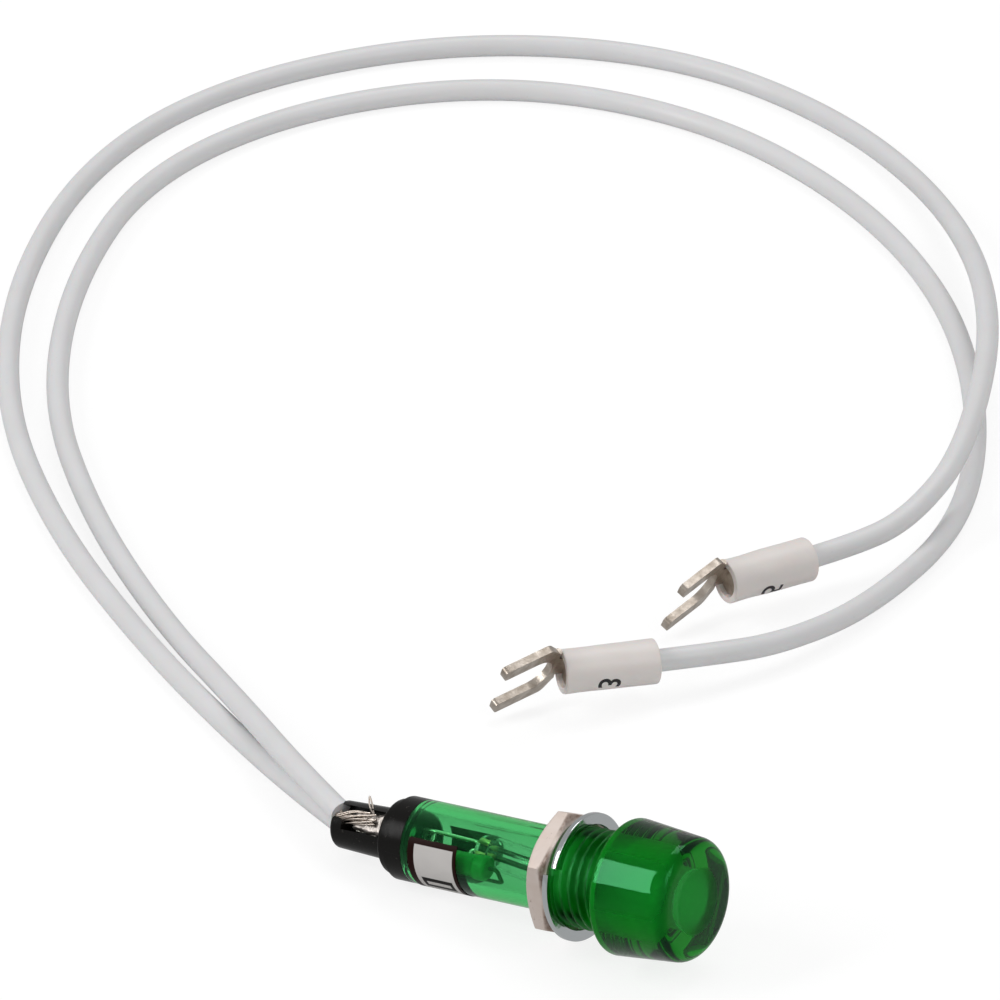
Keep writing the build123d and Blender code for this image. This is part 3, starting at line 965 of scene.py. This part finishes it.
gold = Recipe("lead_wire", metallic=1.0)
gold.set(base_color=gold.mix(gold.noise(0.6, 3), (0.86, 0.68, 0.36), (0.66, 0.48, 0.22)))
gold.set(roughness=gold.noise(0.4) * 0.15 + 0.2)
paint(gold, "resistor_rear_lead")

shaded = Recipe("shaded_lead_wire", metallic=0.6)
shaded.set(base_color=shaded.mix(shaded.noise(0.6, 3), (0.05, 0.17, 0.06), (0.03, 0.10, 0.04)))
shaded.set(roughness=shaded.noise(0.4) * 0.15 + 0.45)
paint(shaded, "resistor_front_lead")

# %% Resistor
lacquer = Recipe("resistor_lacquer")
lacquer.set(base_color=lacquer.mix(
    lacquer.noise(0.8, 3), (0.02, 0.56, 0.09), (0.015, 0.42, 0.07)))
lacquer.set(roughness=lacquer.noise(0.5) * 0.2 + 0.25)
paint(lacquer, "resistor_body")

# %% [markdown]
# ## The label
#
# A strip of printed film is wrapped round the tube: pale grey inside a dark border, with one
# plain black frame printed on it. Its back is painted near black, as painted shade, and shows
# through the far side of the tube. The strip is a curved grid, and its two directions are stored
# as UV coordinates in millimetres, so the printing can be drawn from distances.

# %% Label strips
label_front = -17.5
label_width = 5.75
label_start = math.radians(145)
label_turn = math.radians(225)
film_thickness = 0.06
back_lift = 0.02
label_columns = 96
label_rows = 4


def label_strip(name, radius, inward):
    """Curved strip with UV = distance along the lamp and round it, in millimetres."""
    mesh = bmesh.new()
    uv = mesh.loops.layers.uv.new("label")
    grid = []
    for column in range(label_columns + 1):
        angle = label_start + label_turn * column / label_columns
        row = []
        for step in range(label_rows + 1):
            x = label_front - label_width * step / label_rows
            vertex = mesh.verts.new((x, radius * math.cos(angle), radius * math.sin(angle)))
            row.append((vertex, (label_front - x, radius * (angle - label_start))))
        grid.append(row)
    for left, right in zip(grid, grid[1:]):
        for step in range(label_rows):
            quad = [left[step], left[step + 1], right[step + 1], right[step]]
            if inward:
                quad.reverse()
            face = mesh.faces.new([vertex for vertex, place in quad])
            for loop, (vertex, place) in zip(face.loops, quad):
                loop[uv].uv = place
    return smooth_object(name, mesh, lamp)


# %% Printed film
print_film = Recipe("label_paper", ior=1.2, specular_ior_level=0.3)
on_label = print_film.node("ShaderNodeUVMap", {"uv_map": "label"})
along_lamp = print_film.node("ShaderNodeSeparateXYZ", None, {"Vector": on_label}, "X")
round_lamp = along_lamp.beside("Y")
print_edge = 0.05
side_border = 0.6


def printed_box(along_edges, round_edges):
    """1 inside a box, given by its two edges along the lamp and its two edges round it."""
    inside = along_lamp.within(*along_edges, print_edge)
    return inside * round_lamp.within(*round_edges, print_edge)


long_side = tube_radius * label_turn
field = printed_box((0.42, label_width - 0.75), (side_border, long_side - side_border))
frame_outside = printed_box((0.85, 4.5), (4.1, 5.75))
frame_inside = printed_box((1.27, 4.08), (4.65, 5.2))
printed = frame_outside * (1 - frame_inside)
paper = print_film.mix(print_film.noise(2.0, 3), (0.58, 0.555, 0.54), (0.53, 0.51, 0.495))
inked = print_film.mix(printed, paper, (0.008, 0.006, 0.006))
print_film.set(base_color=print_film.mix(field, (0.016, 0.004, 0.003), inked))
print_film.set(roughness=print_film.noise(1.0, 3) * 0.2 + 0.25)

# The back of the film is near black: painted shade for the label's back inside the tube.
back_film = Recipe("label_back", base_color=(0.006, 0.004, 0.003), specular_ior_level=0.1)
back_film.set(roughness=back_film.noise(1.0, 3) * 0.2 + 0.4)
label_face = label_strip("label_face", tube_radius + film_thickness, False)
dress(label_face, "lamp", "label_paper", print_film, "rating_label")
label_back = label_strip("label_back", tube_radius + back_lift, True)
dress(label_back, "lamp", "label_paper", back_film)

# %% [markdown]
# ## Table and light
#
# The lamp was photographed on a white sweep. The table glows white for the camera and for what
# the clear plastic lets through, and still takes a soft shadow, while metal and gloss mirror a
# grey. The world does the same, so the edges of the clear parts stay dark. A narrow soft lamp
# stands well to the left of the camera. It is rolled about its own line of sight, so that its
# reflection lies along the head as one short strip and misses the tube. Two more lamps fill
# from the right and from above and behind.

# %% White table
white = (1, 1, 1, 1)
table_glow = 0.82
table_shade = 0.22
table_white = 0.8
mirrored_glow = 0.5
floor_size = 6
floor_drop = 0.00005

table = Recipe("table")


def emission(strength):
    return table.node("ShaderNodeEmission", None, {"Color": white, "Strength": strength})


def matt(grey):
    return table.node("ShaderNodeBsdfDiffuse", None, {"Color": (grey, grey, grey, 1)})


rays = table.node("ShaderNodeLightPath", output="Is Camera Ray")
seen = (rays + rays.beside("Is Transmission Ray")).clipped()
lit = table.node("ShaderNodeAddShader", None, {0: emission(table_glow), 1: matt(table_shade)})
unseen = table.node("ShaderNodeMixShader", None, {
    0: rays.beside("Is Glossy Ray"), 1: matt(table_white), 2: emission(mirrored_glow)})
shown = table.node("ShaderNodeMixShader", None, {0: seen, 1: unseen, 2: lit})
table.feed(table.output.inputs["Surface"], shown)
mesh = bmesh.new()
bmesh.ops.create_grid(mesh, x_segments=1, y_segments=1, size=floor_size)
floor = crisp_object("table_top", mesh, Matrix.Translation((0, 0, -floor_drop)))
floor.data.materials.append(table.material)

# %% World
backdrop_white = 1.0
backdrop_grey = 0.42
world = bpy.data.worlds.new("studio")
bpy.context.scene.world = world
world.use_nodes = True
sky = Nodes(world.node_tree)
backdrop = sky.tree.nodes["Background"]
rays = sky.node("ShaderNodeLightPath", output="Is Camera Ray")
seen = rays + rays.beside("Is Transmission Ray")
sky.feed(backdrop.inputs["Color"], white)
sky.feed(backdrop.inputs["Strength"], seen * (backdrop_white - backdrop_grey) + backdrop_grey)

# %% Soft lamps
target = Vector((-0.03, 0.05, 0))


def soft_lamp(name, azimuth, elevation, distance, width, height, power, roll=0):
    """Rectangular lamp that looks at the object. Its angles are in degrees, azimuth 0 is -Y."""
    data = bpy.data.lights.new(name, "AREA")
    data.shape = "RECTANGLE"
    data.size = width
    data.size_y = height
    data.energy = power
    light = add(name, data)
    a, e = math.radians(azimuth), math.radians(elevation)
    away = Vector((math.sin(a) * math.cos(e), -math.cos(a) * math.cos(e), math.sin(e)))
    light.location = target + away * distance
    upright = (-away).to_track_quat("-Z", "Y").to_matrix()
    light.rotation_euler = (upright @ Matrix.Rotation(math.radians(roll), 3, "Z")).to_euler()
    print(name, "at", [round(c, 2) for c in light.location])


soft_lamp("key", -38.4, 36, 1.4, width=0.32, height=0.9, power=7.5, roll=33)
soft_lamp("right_fill", 80, 40, 1.5, width=0.7, height=0.7, power=3.5)
soft_lamp("top_back", 190, 62, 1.5, width=1.0, height=0.6, power=5)

# %% View transform
bpy.context.scene.view_settings.view_transform = "Standard"
